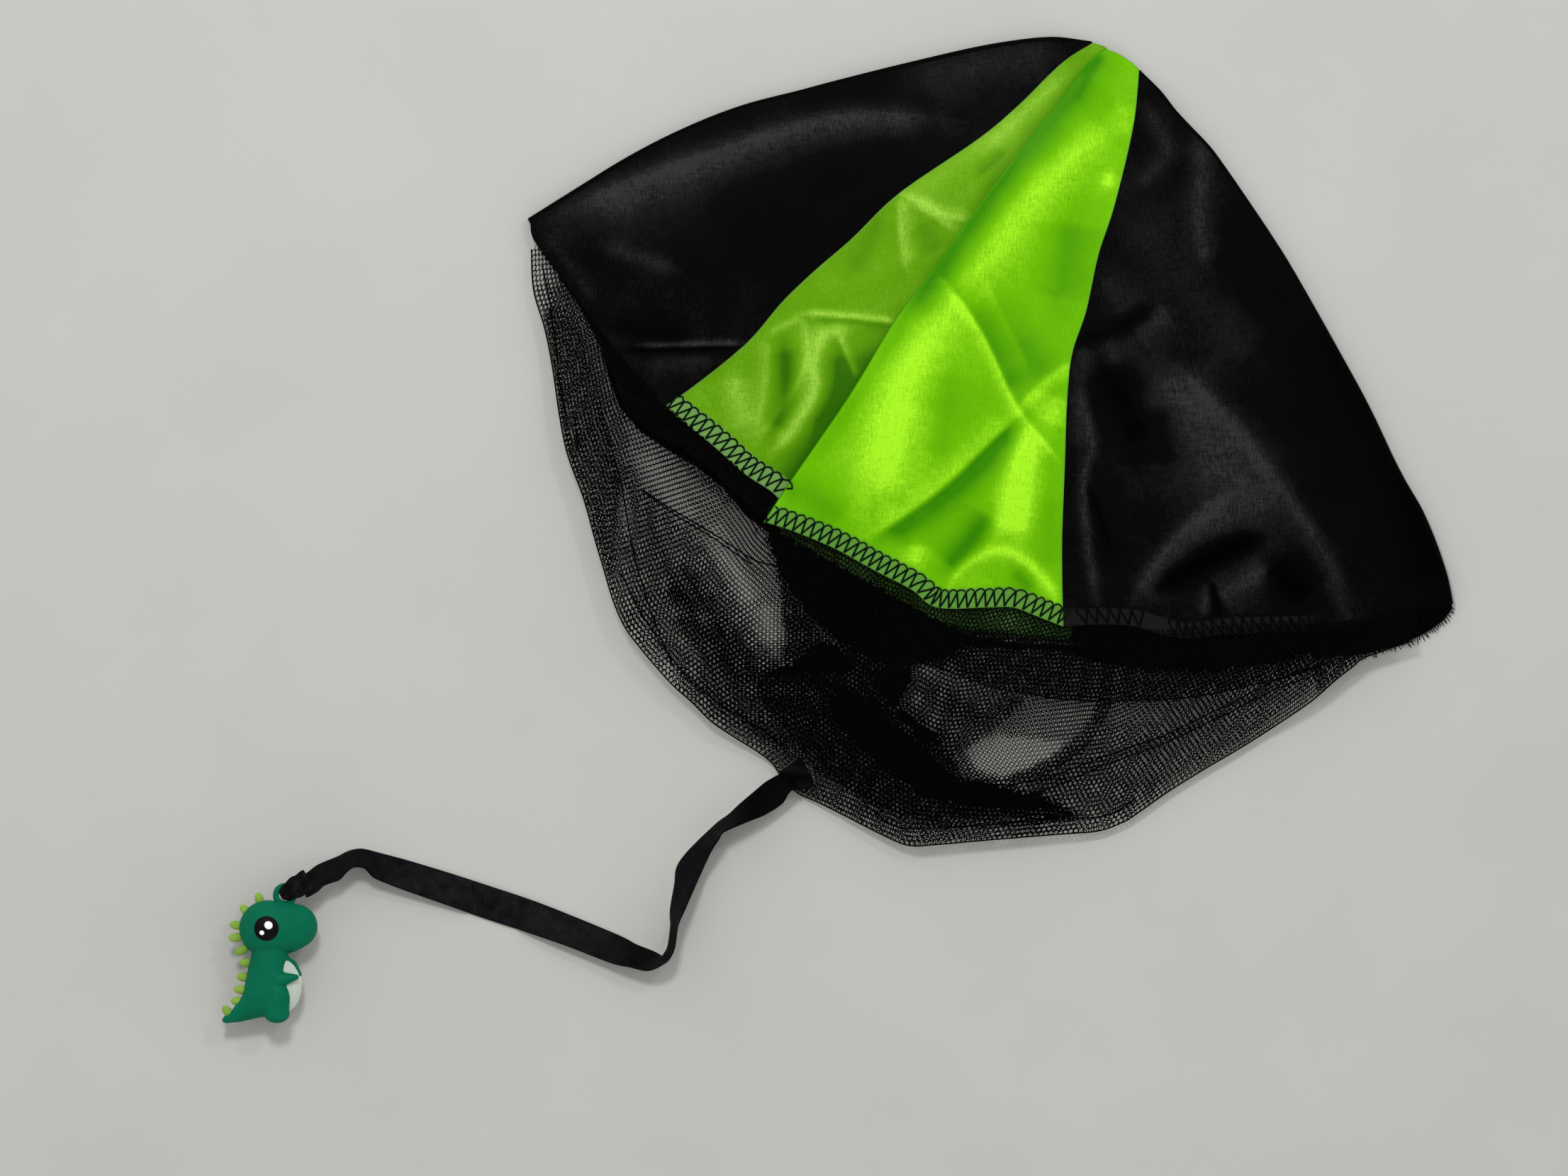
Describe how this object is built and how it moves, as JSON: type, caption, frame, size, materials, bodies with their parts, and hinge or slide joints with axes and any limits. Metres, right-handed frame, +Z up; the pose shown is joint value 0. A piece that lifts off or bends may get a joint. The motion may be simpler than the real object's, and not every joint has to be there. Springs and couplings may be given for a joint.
{
  "type": "toy parachute",
  "caption": "Collapsed toy parachute: lime and black satin canopy with a black tulle skirt and a ribbon that carries a soft moulded dinosaur charm on a swinging eyelet.",
  "frame": {"origin": "on the table, under the middle of the object's outline as it lies", "axes": "+Z up off the table, +X to the right and +Y to the top of the picture, which looks straight down"},
  "size_m": [0.4084, 0.3265, 0.0177],
  "materials": {
    "lime_satin": "satin weave, glossy",
    "black_satin": "satin weave, soft sheen",
    "black_tulle": "fine hexagonal net",
    "black_ribbon": "satin ribbon",
    "green_vinyl": "soft matt vinyl",
    "lime_vinyl": "soft translucent vinyl",
    "white_vinyl": "soft vinyl",
    "eye_black": "gloss"
  },
  "bodies": {
    "parachute": {"canopy_gore_front_green": "lime_satin", "canopy_gore_left_black": "black_satin", "canopy_gore_right_black": "black_satin", "canopy_gore_back_green": "lime_satin", "net_front": "black_tulle", "net_back": "black_tulle", "ribbon": "black_ribbon", "ribbon_tab": "black_ribbon", "ribbon_loop": "black_ribbon"},
    "charm": {"charm_body": "green_vinyl", "charm_head_loop": "green_vinyl", "charm_belly": "white_vinyl", "charm_spike_1": "lime_vinyl", "charm_spike_2": "lime_vinyl", "charm_spike_3": "lime_vinyl", "charm_spike_4": "lime_vinyl", "charm_spike_5": "lime_vinyl", "charm_spike_6": "lime_vinyl", "charm_spike_7": "lime_vinyl", "charm_spike_8": "lime_vinyl", "charm_spike_9": "lime_vinyl", "charm_spike_10": "lime_vinyl", "charm_eye_left": "eye_black", "charm_eye_right": "eye_black", "charm_glint_left_1": "white_vinyl", "charm_glint_left_2": "white_vinyl", "charm_glint_right_1": "white_vinyl", "charm_glint_right_2": "white_vinyl"}
  },
  "joints": [
    {"name": "charm_swing", "type": "hinge", "parent": "parachute", "child": "charm", "pos_m": [-0.18324, -0.12094, 0.0089], "axis": [0, 0, 1], "range_deg": [-90, 25]}
  ]
}
